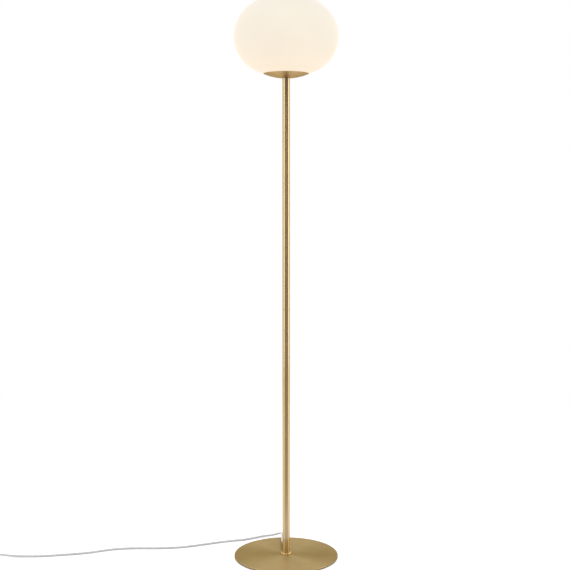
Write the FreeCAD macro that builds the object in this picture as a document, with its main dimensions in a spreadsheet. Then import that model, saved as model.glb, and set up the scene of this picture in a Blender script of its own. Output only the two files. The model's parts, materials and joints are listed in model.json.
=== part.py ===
# Globe floor lamp. An opal glass globe sits in a shallow brass dish on a slim pole of four screwed tubes,
# which stands on a thin round plate. The mains cord leaves the foot of the pole at the back, and lies on
# the floor with its foot switch, a coil of spare cord and a two-pin plug.
# Millimetres, +Z up. The origin is on the floor under the middle of the plate; the cord goes to -X.

import FreeCAD, Part
import math
import os
import Sketcher
from FreeCAD import Vector

doc = FreeCAD.newDocument("GlobeFloorLamp")

# ---------------------------------------------------------------- driving sizes, in mm and degrees

SIZES = {
    # plate and what holds the pole to it
    "pad_thickness": 1.5,
    "pad_radius": 133.0,
    "pad_bore_radius": 30.0,
    "plate_radius": 139.0,
    "plate_thickness": 5.0,
    "plate_edge": 0.6,
    "recess_radius": 16.0,
    "recess_depth": 2.5,
    "washer_radius": 9.5,
    "washer_thickness": 0.8,
    "nut_width": 14.0,
    "nut_height": 2.8,
    "stem_radius": 5.0,
    "stem_bore_radius": 3.6,
    "base_stem_length": 18.0,
    "thread_gap": 0.1,
    "collar_radius": 13.5,
    "collar_height": 4.5,
    "collar_floor": 1.5,
    "collar_rounding": 1.6,
    # pole
    "tube_radius": 10.0,
    "tube_wall": 1.0,
    "tube_edge": 0.4,
    "first_tube": 328.0,
    "middle_tube": 334.5,
    "last_tube": 275.5,
    "press_gap": 0.05,
    "bush_length": 12.0,
    "joiner_seat": 16.0,
    "joiner_rise": 13.0,
    "joiner_radius": 7.0,
    "joiner_bore_radius": 3.9,
    "socket_length": 16.0,
    # dish and spring clips
    "dish_radius": 60.0,
    "dish_depth": 11.5,
    "dish_flat": 12.0,
    "dish_wall": 0.9,
    "spacer_radius": 8.0,
    "clip_plate_radius": 32.0,
    "clip_plate_gap": 0.5,
    "clip_plate_thickness": 1.0,
    "clip_width": 10.0,
    "clip_thickness": 0.5,
    "clip_foot_radius": 21.0,
    "clip_grip": 3.0,
    "clip_tip_rise": 8.0,
    "clip_tip_drop": 3.5,
    "rivet_radius": 1.5,
    "rivet_head_radius": 2.5,
    "rivet_head": 1.0,
    "gasket_inset": 5.0,
    "gasket_width": 5.0,
    "gasket_thickness": 1.6,
    "soft_gap": 0.3,
    # glass globe: an oval of revolution of four arcs, cut open at the foot
    "globe_radius": 137.5,
    "globe_side_arc": 96.5,
    "globe_crown": 111.5,
    "globe_belly": 101.4,
    "glass_wall": 3.0,
    "opening_inset": 6.0,
    # screw lampholder
    "holder_radius": 19.0,
    "holder_waist": 13.0,
    "holder_wall": 2.0,
    "holder_cap_height": 16.0,
    "holder_barrel_height": 30.0,
    "core_height": 8.0,
    "shell_radius": 14.4,
    "shell_wall": 0.6,
    "shell_height": 22.0,
    "tongue_width": 6.0,
    "tongue_reach": 9.0,
    "tongue_bend": 3.0,
    "tongue_thickness": 0.4,
    "tongue_rise": 1.6,
    # bulb
    "bulb_radius": 30.0,
    "bulb_length": 108.0,
    "bulb_cap_radius": 13.2,
    "bulb_cap_height": 25.0,
    "bulb_cap_taper": 3.0,
    "bulb_tip_radius": 5.0,
    "bulb_tip_height": 1.2,
    "bulb_neck_radius": 15.0,
    "bulb_neck_height": 8.0,
    "bulb_collar_height": 36.0,
    "bulb_flare": 60.0,
    # cord and where it leaves the pole
    "cord_radius": 2.8,
    "cord_rest": 3.0,
    "exit_height": 18.5,
    "exit_angle": 12.0,
    "grommet_radius": 4.5,
    "grommet_flange": 5.8,
    "grommet_flange_depth": 3.0,
    "grommet_inside": 0.8,
    "relief_length": 20.0,
    "relief_root_radius": 4.3,
    "relief_tip_radius": 3.3,
    "cable_bend": 6.0,
    # foot switch
    "switch_x": -841.0,
    "switch_y": -8.0,
    "switch_length": 78.0,
    "switch_width": 36.0,
    "switch_corner": 14.0,
    "switch_base_height": 7.0,
    "switch_cover_height": 12.0,
    "switch_wall": 2.0,
    "switch_bevel": 3.0,
    "switch_neck_radius": 4.4,
    "button_radius": 12.0,
    "button_gap": 0.3,
    "button_lip": 2.0,
    "button_lip_height": 1.5,
    "button_proud": 3.5,
    "button_bevel": 1.2,
    "block_length": 26.0,
    "block_width": 16.0,
    "block_height": 9.0,
    "leaf_span": 14.0,
    "leaf_width": 6.0,
    "leaf_thickness": 0.4,
    "leaf_top": 4.0,
    "screw_spacing": 56.0,
    "screw_radius": 1.4,
    "screw_head_radius": 2.8,
    "screw_head_height": 1.4,
    "screw_sink": 0.15,
    "screw_length": 12.0,
    "boss_radius": 3.4,
    # plug
    "plug_x": -864.0,
    "plug_y": -87.0,
    "plug_width": 35.3,
    "plug_height": 13.7,
    "plug_shoulder": 14.0,
    "plug_length": 34.0,
    "plug_rear_width": 13.0,
    "plug_waist": 1.0,
    "plug_bevel": 2.0,
    "pin_spacing": 19.0,
    "pin_radius": 2.0,
    "pin_length": 19.0,
    "pin_root": 6.0,
    "pin_core_radius": 1.4,
    "sleeve_radius": 1.9,
    "sleeve_length": 10.0,
    # coil of spare cord
    "coil_x": -940.0,
    "coil_radius": 37.0,
    "coil_step": 6.3,
    "coil_layer": 6.3,
}

# Heights above the floor and other sizes that follow from the driving ones.
LEVELS = {
    "plate_top": "Sizes.pad_thickness + Sizes.plate_thickness",
    "recess_top": "Sizes.pad_thickness + Sizes.recess_depth",
    "washer_base": "recess_top - Sizes.washer_thickness",
    "base_nut_base": "washer_base - Sizes.nut_height",
    "stem_hole": "Sizes.stem_radius + Sizes.thread_gap",
    "collar_top": "plate_top + Sizes.collar_height",
    "tube_foot": "plate_top + Sizes.collar_floor",
    "tube_bore": "Sizes.tube_radius - Sizes.tube_wall",
    "insert_radius": "tube_bore - Sizes.press_gap",
    "first_joint": "tube_foot + Sizes.first_tube",
    "second_joint": "first_joint + Sizes.middle_tube",
    "third_joint": "second_joint + Sizes.middle_tube",
    "dish_base": "third_joint + Sizes.last_tube",
    "dish_centre": "dish_base + Sizes.dish_depth / 2"
    " + (Sizes.dish_radius^2 - Sizes.dish_flat^2) / (2 * Sizes.dish_depth)",
    "dish_arc": "(Sizes.dish_flat^2 + (dish_centre - dish_base)^2)^0.5",
    "spacer_base": "dish_base + Sizes.dish_wall",
    "clip_plate_base": "dish_centre - ((dish_arc - Sizes.dish_wall)^2 - Sizes.clip_plate_radius^2)^0.5"
    " + Sizes.clip_plate_gap",
    "clip_plate_top": "clip_plate_base + Sizes.clip_plate_thickness",
    "head_nut_top": "clip_plate_top + Sizes.nut_height",
    "holder_joint": "head_nut_top + Sizes.holder_cap_height",
    "holder_top": "holder_joint + Sizes.holder_barrel_height",
    "core_base": "holder_joint - Sizes.core_height",
    "bulb_foot": "holder_joint + Sizes.tongue_rise",
    "bulb_cap_top": "bulb_foot + Sizes.bulb_cap_height",
    "bulb_collar_top": "bulb_cap_top + Sizes.bulb_collar_height",
    "bulb_centre": "bulb_foot + Sizes.bulb_length - Sizes.bulb_radius",
    "bulb_seam": "(Sizes.bulb_radius^2 - (bulb_centre - bulb_collar_top)^2)^0.5",
    "gasket_outer": "Sizes.dish_radius - Sizes.gasket_inset",
    "gasket_inner": "gasket_outer - Sizes.gasket_width",
    "gasket_middle": "(gasket_outer + gasket_inner) / 2",
    "opening_radius": "gasket_inner - Sizes.opening_inset",
    "side_offset": "Sizes.globe_radius - Sizes.globe_side_arc",
    "crown_drop": "(side_offset^2 - (Sizes.globe_crown - Sizes.globe_side_arc)^2)"
    " / (2 * (Sizes.globe_crown - Sizes.globe_side_arc))",
    "belly_lift": "(side_offset^2 - (Sizes.globe_belly - Sizes.globe_side_arc)^2)"
    " / (2 * (Sizes.globe_belly - Sizes.globe_side_arc))",
    "crown_radius": "Sizes.globe_crown + crown_drop",
    "belly_radius": "Sizes.globe_belly + belly_lift",
    "belly_centre": "dish_centre - ((dish_arc - Sizes.dish_wall)^2 - gasket_middle^2)^0.5"
    " + Sizes.gasket_thickness + 2 * Sizes.soft_gap + (belly_radius^2 - gasket_middle^2)^0.5",
    "globe_centre": "belly_centre - belly_lift",
    "crown_centre": "globe_centre - crown_drop",
    "crown_angle": "atan(crown_drop / side_offset) / 1deg",
    "belly_angle": "-atan(belly_lift / side_offset) / 1deg",
    "exit_level": "plate_top + Sizes.exit_height",
    "grommet_tip": "Sizes.tube_radius + Sizes.relief_length",
    "switch_half": "Sizes.switch_length / 2",
    "switch_top": "Sizes.switch_base_height + Sizes.switch_cover_height",
    "switch_ceiling": "switch_top - Sizes.switch_wall",
    "switch_floor": "Sizes.switch_wall",
    "block_top": "switch_floor + Sizes.block_height",
    "button_base": "switch_ceiling - Sizes.button_gap - Sizes.button_lip_height",
    "button_top": "switch_top + Sizes.button_proud",
    "leaf_crest": "button_base",
    "relief_flange": "Sizes.switch_base_height - switch_floor - Sizes.press_gap",
    "pin_level": "Sizes.plug_height / 2",
}

sizes = doc.addObject("Spreadsheet::Sheet", "Sizes")
levels = doc.addObject("Spreadsheet::Sheet", "Levels")


def fill(sheet, cells):
    """Write the named cells down column B of a sheet, with their names in column A."""
    for row, (alias, content) in enumerate(cells.items(), start=1):
        sheet.set(f"A{row}", alias)
        sheet.set(f"B{row}", f"={content}" if isinstance(content, str) else str(content))
        sheet.setAlias(f"B{row}", alias)


fill(sizes, SIZES)
doc.recompute()
fill(levels, LEVELS)
doc.recompute()


def value(formula):
    """The number that a formula of Sizes and Levels cells gives."""
    return float(levels.evalExpression(str(formula)))


# ---------------------------------------------------------------- sketches and features

parts = []


def new_part(label, kind="PartDesign::Body"):
    part = doc.addObject(kind, label)
    part.Label = label
    parts.append(part)
    return part


def bind(thing, **formulas):
    """Bind properties of an object to formulas, with __ in a name standing for a dot."""
    for name, formula in formulas.items():
        thing.setExpression(name.replace("__", "."), str(formula))


def sketch_on(body, role):
    plane = next(f for f in body.Origin.OriginFeatures if f.Role == role)
    sketch = body.newObject("Sketcher::SketchObject", body.Label + "_sketch")
    sketch.AttachmentSupport = [(plane, "")]
    sketch.MapMode = "FlatFace"
    return sketch


def constrain(sketch, constraints, formulas):
    """Add constraints at once, and bind those that have a formula to it."""
    first = sketch.ConstraintCount
    sketch.addConstraint(constraints)
    for number, formula in formulas.items():
        name = f"size_{first + number}"
        sketch.renameConstraint(first + number, name)
        bind(sketch, **{"Constraints__" + name: formula})


def is_number(formula):
    try:
        float(formula)
    except ValueError:
        return False
    return True


def add_sized(kind, place, formula, constraints, formulas):
    constraints.append(Sketcher.Constraint(kind, *place, value(formula)))
    if not is_number(formula):
        formulas[len(constraints) - 1] = formula


def outline(sketch, corners):
    """A closed outline through corners, each (across, up) as formulas. A corner that also has a radius
    and a turn, "left" or "right", starts an arc of that radius to the next corner."""
    spots = [Vector(value(c[0]), value(c[1]), 0) for c in corners]
    first = sketch.GeometryCount
    shapes, ends = [], []
    for number, corner in enumerate(corners):
        a, b = spots[number], spots[(number + 1) % len(spots)]
        if len(corner) == 2:
            shapes.append(Part.LineSegment(a, b))
            ends.append((1, 2))
            continue
        radius, turn = value(corner[2]), corner[3]
        chord = b - a
        aside = Vector(-chord.y, chord.x, 0).normalize()
        side = 1 if turn == "left" else -1
        rise = math.sqrt(max(radius**2 - chord.Length**2 / 4, 0))
        centre = (a + b) / 2 + aside * side * rise
        angle_a, angle_b = (math.atan2(p.y - centre.y, p.x - centre.x) for p in (a, b))
        if side < 0:
            angle_a, angle_b = angle_b, angle_a
        circle = Part.Circle(centre, Vector(0, 0, 1), radius)
        shapes.append(Part.ArcOfCircle(circle, angle_a, angle_b))
        ends.append((1, 2) if side > 0 else (2, 1))
    sketch.addGeometry(shapes, False)
    constraints, formulas = [], {}
    for number, corner in enumerate(corners):
        after = (number + 1) % len(corners)
        constraints.append(
            Sketcher.Constraint("Coincident", first + number, ends[number][1], first + after, ends[after][0])
        )
    for number, corner in enumerate(corners):
        spot = (-1, 1, first + number, ends[number][0])
        add_sized("DistanceX", spot, corner[0], constraints, formulas)
        add_sized("DistanceY", spot, corner[1], constraints, formulas)
        if len(corner) == 4:
            add_sized("Radius", (first + number,), corner[2], constraints, formulas)
    constrain(sketch, constraints, formulas)


def circle(sketch, across, up, radius):
    number = sketch.GeometryCount
    spot = Vector(value(across), value(up), 0)
    sketch.addGeometry(Part.Circle(spot, Vector(0, 0, 1), value(radius)), False)
    constraints, formulas = [], {}
    add_sized("DistanceX", (-1, 1, number, 3), across, constraints, formulas)
    add_sized("DistanceY", (-1, 1, number, 3), up, constraints, formulas)
    add_sized("Radius", (number,), radius, constraints, formulas)
    constrain(sketch, constraints, formulas)


def turn(body, corners, role="XZ_Plane", axis="V_Axis"):
    """Turn an outline round an axis of its sketch."""
    sketch = sketch_on(body, role)
    outline(sketch, corners)
    feature = body.newObject("PartDesign::Revolution", body.Label + "_turned")
    feature.Profile = sketch
    feature.ReferenceAxis = (sketch, [axis])
    feature.Angle = 360
    return feature


def turned(label, corners, **options):
    body = new_part(label)
    turn(body, corners, **options)
    return body


def extrude(kind, body, sketch, length=None, symmetric=False, reverse=False):
    feature = body.newObject("PartDesign::" + kind, body.Label + "_" + kind.lower())
    feature.Profile = sketch
    if length is None:
        feature.Type = "ThroughAll"
    else:
        bind(feature, Length=length)
    feature.SideType = "Symmetric" if symmetric else "One side"
    feature.Reversed = reverse
    return feature


def ring_outline(inner, outer, low, high):
    return [(inner, low), (outer, low), (outer, high), (inner, high)]


# ---------------------------------------------------------------- base

turned("floor_pad", ring_outline("Sizes.pad_bore_radius", "Sizes.pad_radius", "0", "Sizes.pad_thickness"))

turned(
    "base_plate",
    [
        ("Sizes.recess_radius", "Sizes.pad_thickness"),
        ("Sizes.plate_radius - Sizes.plate_edge", "Sizes.pad_thickness"),
        ("Sizes.plate_radius", "Sizes.pad_thickness + Sizes.plate_edge"),
        ("Sizes.plate_radius", "Levels.plate_top - Sizes.plate_edge", "Sizes.plate_edge", "left"),
        ("Sizes.plate_radius - Sizes.plate_edge", "Levels.plate_top"),
        ("Levels.stem_hole", "Levels.plate_top"),
        ("Levels.stem_hole", "Levels.recess_top"),
        ("Sizes.recess_radius", "Levels.recess_top"),
    ],
)

turned(
    "plate_washer",
    ring_outline("Levels.stem_hole", "Sizes.washer_radius", "Levels.washer_base", "Levels.recess_top"),
)

turned(
    "foot_collar",
    [
        ("Levels.stem_hole", "Levels.plate_top"),
        ("Sizes.collar_radius", "Levels.plate_top"),
        ("Sizes.collar_radius", "Levels.collar_top - Sizes.collar_rounding", "Sizes.collar_rounding", "left"),
        ("Sizes.collar_radius - Sizes.collar_rounding", "Levels.collar_top"),
        ("Sizes.tube_radius + Sizes.press_gap", "Levels.collar_top"),
        ("Sizes.tube_radius + Sizes.press_gap", "Levels.tube_foot"),
        ("Levels.stem_hole", "Levels.tube_foot"),
    ],
)


# ---------------------------------------------------------------- pole

def pole_tube(number, low, high):
    """One tube of the pole, with its outer edges broken where it meets its neighbours."""
    return turned(
        f"pole_tube_{number}",
        [
            ("Levels.tube_bore", low),
            ("Sizes.tube_radius - Sizes.tube_edge", low),
            ("Sizes.tube_radius", f"{low} + Sizes.tube_edge"),
            ("Sizes.tube_radius", f"{high} - Sizes.tube_edge"),
            ("Sizes.tube_radius - Sizes.tube_edge", high),
            ("Levels.tube_bore", high),
        ],
    )


JOINTS = ["Levels.first_joint", "Levels.second_joint", "Levels.third_joint"]
TUBE_ENDS = ["Levels.tube_foot"] + JOINTS + ["Levels.dish_base"]
tubes = [pole_tube(n + 1, low, high) for n, (low, high) in enumerate(zip(TUBE_ENDS[:-1], TUBE_ENDS[1:]))]

# The cord's way out is a round hole in the back wall of the lowest tube.
cord_hole = sketch_on(tubes[0], "XZ_Plane")
circle(cord_hole, "0", "Levels.exit_level", "Sizes.grommet_radius + Sizes.press_gap")
extrude("Pocket", tubes[0], cord_hole)
tubes[0].Placement.Rotation.Axis = Vector(0, 0, 1)
bind(tubes[0], Placement__Rotation__Angle="Sizes.exit_angle")


def group(label, pieces):
    """A node that holds a set of identical pieces, each its own solid."""
    whole = new_part(label, "Part::Compound")
    whole.Links = pieces
    for piece in pieces:
        parts.remove(piece)
    return whole


def pole_joiner(number, joint):
    """A turned plug pressed into a tube's top, with a threaded spigot that the next tube screws onto."""
    return turned(
        f"joiner_{number}",
        [
            ("Sizes.joiner_bore_radius", f"{joint} - Sizes.joiner_seat"),
            ("Levels.insert_radius", f"{joint} - Sizes.joiner_seat"),
            ("Levels.insert_radius", joint),
            ("Sizes.joiner_radius", joint),
            ("Sizes.joiner_radius", f"{joint} + Sizes.joiner_rise"),
            ("Sizes.joiner_bore_radius", f"{joint} + Sizes.joiner_rise"),
        ],
    )


def pole_socket(number, joint):
    """The threaded bush in the foot of the upper tube, which takes the spigot."""
    bore = "Sizes.joiner_radius + Sizes.thread_gap"
    return turned(
        f"socket_{number}",
        ring_outline(bore, "Levels.insert_radius", joint, f"{joint} + Sizes.socket_length"),
    )


group("pole_joiners", [pole_joiner(n + 1, joint) for n, joint in enumerate(JOINTS)])
group("pole_sockets", [pole_socket(n + 1, joint) for n, joint in enumerate(JOINTS)])


def end_bush(name, low):
    return turned(
        name,
        ring_outline("Levels.stem_hole", "Levels.insert_radius", low, f"{low} + Sizes.bush_length"),
    )


head_bush_base = "Levels.dish_base - Sizes.bush_length"
group("pole_end_bushes", [end_bush("foot_bush", "Levels.tube_foot"), end_bush("head_bush", head_bush_base)])

# ---------------------------------------------------------------- stems and nuts

def stem(label, low, high):
    return turned(label, ring_outline("Sizes.stem_bore_radius", "Sizes.stem_radius", low, high))


stem("base_stem", "Levels.base_nut_base", "Levels.base_nut_base + Sizes.base_stem_length")
stem("head_stem", head_bush_base, "Levels.head_nut_top + Sizes.holder_wall + Sizes.thread_gap")


def hexagon(width):
    """Corners of a hexagon of that width across its flats."""
    return [(f"{width} / 3^0.5 * cos({60 * n})", f"{width} / 3^0.5 * sin({60 * n})") for n in range(6)]


def stem_nut(label, low):
    body = new_part(label)
    sketch = sketch_on(body, "XY_Plane")
    outline(sketch, hexagon("Sizes.nut_width"))
    circle(sketch, "0", "0", "Levels.stem_hole")
    extrude("Pad", body, sketch, "Sizes.nut_height")
    bind(body, Placement__Base__z=low)
    return body


group(
    "stem_nuts",
    [stem_nut("base_nut", "Levels.base_nut_base"), stem_nut("head_nut", "Levels.clip_plate_top")],
)

# ---------------------------------------------------------------- dish and globe fittings


def sphere_under(centre, arc, radius):
    """Height of a sphere's underside at a radius from the lamp's axis."""
    return f"{centre} - (({arc})^2 - ({radius})^2)^0.5"


def dish_floor(radius):
    return sphere_under("Levels.dish_centre", "Levels.dish_arc - Sizes.dish_wall", radius)


def glass_floor(radius):
    return sphere_under("Levels.belly_centre", "Levels.belly_radius", radius)


def on_sphere(centre, arc, height):
    """Radius from the lamp's axis at which a sphere stands at a height."""
    return f"(({arc})^2 - ({centre} - ({height}))^2)^0.5"


# Spun from sheet: flat where the stem clamps it, and a shallow bowl from there to its rim.
dish_rim = "Levels.dish_base + Sizes.dish_depth"
inner_arc = "Levels.dish_arc - Sizes.dish_wall"
turned(
    "dish",
    [
        ("Levels.stem_hole", "Levels.dish_base"),
        ("Sizes.dish_flat", "Levels.dish_base", "Levels.dish_arc", "left"),
        ("Sizes.dish_radius", dish_rim),
        (on_sphere("Levels.dish_centre", inner_arc, dish_rim), dish_rim, inner_arc, "right"),
        (on_sphere("Levels.dish_centre", inner_arc, "Levels.spacer_base"), "Levels.spacer_base"),
        ("Levels.stem_hole", "Levels.spacer_base"),
    ],
)

turned(
    "head_spacer",
    ring_outline("Levels.stem_hole", "Sizes.spacer_radius", "Levels.spacer_base", "Levels.clip_plate_base"),
)

rivet_circle = "((Sizes.clip_foot_radius + Sizes.clip_plate_radius) / 2)"
rivet_hole = "Sizes.rivet_radius + Sizes.press_gap"
CLIPS = 3


def around(body, features):
    """Repeat features evenly round the lamp's axis, once for each clip."""
    pattern = body.newObject("PartDesign::PolarPattern", body.Label + "_around")
    pattern.Originals = features
    pattern.Axis = (next(f for f in body.Origin.OriginFeatures if f.Role == "Z_Axis"), [""])
    pattern.Angle = 360
    pattern.Occurrences = CLIPS
    body.Tip = pattern
    return pattern


plate_low, plate_high = "Levels.clip_plate_base", "Levels.clip_plate_top"
clip_plate = turned(
    "clip_plate",
    ring_outline("Levels.stem_hole", "Sizes.clip_plate_radius", plate_low, plate_high),
)
hole = sketch_on(clip_plate, "XY_Plane")
circle(hole, rivet_circle, "0", rivet_hole)
around(clip_plate, [extrude("Pocket", clip_plate, hole, reverse=True)])


def spring_clip(number):
    """A leaf riveted to the clip plate that rises to press on the edge of the globe's opening."""
    body = new_part(f"clip_{number}")
    flat = "Levels.clip_plate_top"
    grip = "Levels.opening_radius - Sizes.soft_gap"
    leaf = "Sizes.clip_thickness"
    edge_low = glass_floor("Levels.opening_radius")
    edge_high = f"{edge_low} + Sizes.clip_grip"
    sketch = sketch_on(body, "XZ_Plane")
    outline(
        sketch,
        [
            ("Sizes.clip_foot_radius", flat),
            ("Sizes.clip_plate_radius", flat),
            (grip, edge_low),
            (grip, edge_high),
            (f"{grip} - Sizes.clip_tip_drop", f"{edge_high} + Sizes.clip_tip_rise"),
            (f"{grip} - Sizes.clip_tip_drop - {leaf}", f"{edge_high} + Sizes.clip_tip_rise"),
            (f"{grip} - {leaf}", edge_high),
            (f"{grip} - {leaf}", f"{edge_low} + {leaf} / 2"),
            (f"Sizes.clip_plate_radius - {leaf} / 2", f"{flat} + {leaf}"),
            ("Sizes.clip_foot_radius", f"{flat} + {leaf}"),
        ],
    )
    extrude("Pad", body, sketch, "Sizes.clip_width", symmetric=True)
    rivet = sketch_on(body, "XY_Plane")
    circle(rivet, rivet_circle, "0", rivet_hole)
    extrude("Pocket", body, rivet, reverse=True)
    body.Placement = FreeCAD.Placement(Vector(), FreeCAD.Rotation(Vector(0, 0, 1), 360 / CLIPS * number))
    return body


def clip_rivet(number):
    body = new_part(f"rivet_{number}")
    head_base = "Levels.clip_plate_top + Sizes.clip_thickness"
    turn(
        body,
        [
            ("0", "Levels.clip_plate_base"),
            ("Sizes.rivet_radius", "Levels.clip_plate_base"),
            ("Sizes.rivet_radius", head_base),
            ("Sizes.rivet_head_radius", head_base),
            ("Sizes.rivet_radius", f"{head_base} + Sizes.rivet_head"),
            ("0", f"{head_base} + Sizes.rivet_head"),
        ],
    )
    angle = 360 / CLIPS * number
    across, along = f"{rivet_circle} * cos({angle})", f"{rivet_circle} * sin({angle})"
    bind(body, Placement__Base__x=across, Placement__Base__y=along)
    return body


group("spring_clips", [spring_clip(n) for n in range(CLIPS)])
group("clip_rivets", [clip_rivet(n) for n in range(CLIPS)])

turned(
    "globe_gasket",
    [
        ("Levels.gasket_inner", f"{dish_floor('Levels.gasket_inner')} + Sizes.soft_gap"),
        ("Levels.gasket_outer", f"{dish_floor('Levels.gasket_outer')} + Sizes.soft_gap"),
        ("Levels.gasket_outer", f"{glass_floor('Levels.gasket_outer')} - Sizes.soft_gap"),
        ("Levels.gasket_inner", f"{glass_floor('Levels.gasket_inner')} - Sizes.soft_gap"),
    ],
)

# ---------------------------------------------------------------- globe


def side_spot(inset, angle):
    """Where the side arc of the oval, inset from the outside, is at an angle."""
    arc = f"(Sizes.globe_side_arc - {inset})"
    return f"Levels.side_offset + {arc} * cos({angle})", f"Levels.globe_centre + {arc} * sin({angle})"


crown, side, belly = "Levels.crown_radius", "Sizes.globe_side_arc", "Levels.belly_radius"
glass = "Sizes.glass_wall"
turned(
    "globe",
    [
        ("0", f"Levels.crown_centre + {crown}", crown, "right"),
        (*side_spot("0", "Levels.crown_angle"), side, "right"),
        (*side_spot("0", "Levels.belly_angle"), belly, "right"),
        ("Levels.opening_radius", glass_floor("Levels.opening_radius")),
        (
            "Levels.opening_radius",
            sphere_under("Levels.belly_centre", f"{belly} - {glass}", "Levels.opening_radius"),
            f"{belly} - {glass}",
            "left",
        ),
        (*side_spot(glass, "Levels.belly_angle"), f"{side} - {glass}", "left"),
        (*side_spot(glass, "Levels.crown_angle"), f"{crown} - {glass}", "left"),
        ("0", f"Levels.crown_centre + {crown} - {glass}"),
    ],
)

# ---------------------------------------------------------------- lampholder

holder_inside = "(Sizes.holder_radius - Sizes.holder_wall)"
turned(
    "holder_cap",
    [
        ("Levels.stem_hole", "Levels.head_nut_top"),
        ("Sizes.holder_waist", "Levels.head_nut_top"),
        ("Sizes.holder_radius", "Levels.core_base"),
        ("Sizes.holder_radius", "Levels.holder_joint"),
        (holder_inside, "Levels.holder_joint"),
        (holder_inside, "Levels.core_base"),
        ("Sizes.holder_waist - Sizes.holder_wall", "Levels.head_nut_top + Sizes.holder_wall"),
        ("Levels.stem_hole", "Levels.head_nut_top + Sizes.holder_wall"),
    ],
)
turned(
    "holder_barrel",
    ring_outline(holder_inside, "Sizes.holder_radius", "Levels.holder_joint", "Levels.holder_top"),
)
core = new_part("contact_block", "Part::Cylinder")
bind(
    core,
    Radius=f"{holder_inside} - Sizes.press_gap",
    Height="Sizes.core_height",
    Placement__Base__z="Levels.core_base",
)
turned(
    "screw_shell",
    ring_outline(
        "Sizes.shell_radius - Sizes.shell_wall",
        "Sizes.shell_radius",
        "Levels.holder_joint",
        "Levels.holder_joint + Sizes.shell_height",
    ),
)

tongue = new_part("contact_tongue")
tongue_sketch = sketch_on(tongue, "XZ_Plane")
block_face = "Levels.holder_joint"
tongue_top = f"{block_face} + Sizes.tongue_rise"
tongue_bend = "Sizes.tongue_bend - Sizes.tongue_rise / 2"
tongue_heel = f"{tongue_bend} + 2 * Sizes.tongue_rise"
outline(
    tongue_sketch,
    [
        ("-Sizes.tongue_reach", block_face),
        (f"-({tongue_heel})", block_face),
        (f"-({tongue_bend})", f"{tongue_top} - Sizes.tongue_thickness"),
        ("Sizes.tongue_bend", f"{tongue_top} - Sizes.tongue_thickness"),
        ("Sizes.tongue_bend", tongue_top),
        (f"-({tongue_bend}) - Sizes.tongue_thickness", tongue_top),
        (f"-({tongue_heel}) - Sizes.tongue_thickness", f"{block_face} + Sizes.tongue_thickness"),
        ("-Sizes.tongue_reach", f"{block_face} + Sizes.tongue_thickness"),
    ],
)
extrude("Pad", tongue, tongue_sketch, "Sizes.tongue_width", symmetric=True)

# ---------------------------------------------------------------- bulb

tip_top = "(Levels.bulb_foot + Sizes.bulb_tip_height)"
tip = new_part("bulb_tip", "Part::Cylinder")
bind(
    tip,
    Radius="Sizes.bulb_tip_radius",
    Height="Sizes.bulb_tip_height",
    Placement__Base__z="Levels.bulb_foot",
)
turned(
    "bulb_cap",
    [
        ("0", tip_top),
        ("Sizes.bulb_tip_radius", tip_top),
        ("Sizes.bulb_cap_radius", f"{tip_top} + Sizes.bulb_cap_taper"),
        ("Sizes.bulb_cap_radius", "Levels.bulb_cap_top"),
        ("0", "Levels.bulb_cap_top"),
    ],
)
bulb_neck_top = "Levels.bulb_cap_top + Sizes.bulb_neck_height"
turned(
    "bulb_collar",
    [
        ("0", "Levels.bulb_cap_top"),
        ("Sizes.bulb_neck_radius", "Levels.bulb_cap_top"),
        ("Sizes.bulb_neck_radius", bulb_neck_top, "Sizes.bulb_flare", "right"),
        ("Levels.bulb_seam", "Levels.bulb_collar_top"),
        ("0", "Levels.bulb_collar_top"),
    ],
)
turned(
    "bulb_dome",
    [
        ("0", "Levels.bulb_collar_top"),
        ("Levels.bulb_seam", "Levels.bulb_collar_top", "Sizes.bulb_radius", "left"),
        ("0", "Levels.bulb_centre + Sizes.bulb_radius"),
    ],
)

# ---------------------------------------------------------------- cord exit

grommet = new_part("cord_grommet")
seat = "Sizes.tube_radius"
turn(
    grommet,
    [
        (f"{seat} - Sizes.tube_wall", "0"),
        ("Levels.grommet_tip", "0"),
        ("Levels.grommet_tip", "Sizes.relief_tip_radius"),
        (f"{seat} + Sizes.grommet_flange_depth", "Sizes.relief_root_radius"),
        (f"{seat} + Sizes.grommet_flange_depth", "Sizes.grommet_flange"),
        (f"{seat} - Sizes.tube_wall", "Sizes.grommet_flange"),
    ],
    role="YZ_Plane",
    axis="H_Axis",
)
pole_seat = grommet.newObject("PartDesign::SubtractiveCylinder", "grommet_seat")
bind(
    pole_seat,
    Radius=f"{seat} + Sizes.press_gap",
    Height="4 * Sizes.grommet_flange",
    Placement__Base__z="-2 * Sizes.grommet_flange",
)
turn(
    grommet,
    [
        ("Levels.tube_bore - Sizes.grommet_inside", "0"),
        (f"{seat} + Sizes.grommet_flange_depth", "0"),
        (f"{seat} + Sizes.grommet_flange_depth", "Sizes.grommet_radius"),
        ("Levels.tube_bore - Sizes.grommet_inside", "Sizes.grommet_radius"),
    ],
    role="YZ_Plane",
    axis="H_Axis",
)
grommet.Placement.Rotation.Axis = Vector(0, 0, 1)
bind(grommet, Placement__Base__z="Levels.exit_level", Placement__Rotation__Angle="Sizes.exit_angle")

# ---------------------------------------------------------------- foot switch


def rounded_outline(length, width, corner):
    """Corners of a rectangle with round corners, its middle at the origin."""
    x, y = f"({length}) / 2", f"({width}) / 2"
    return [
        (f"-({x}) + {corner}", f"-({y})"),
        (f"{x} - ({corner})", f"-({y})", corner, "left"),
        (x, f"-({y}) + {corner}"),
        (x, f"{y} - ({corner})", corner, "left"),
        (f"{x} - ({corner})", y),
        (f"-({x}) + {corner}", y, corner, "left"),
        (f"-({x})", f"{y} - ({corner})"),
        (f"-({x})", f"-({y}) + {corner}", corner, "left"),
    ]


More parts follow.
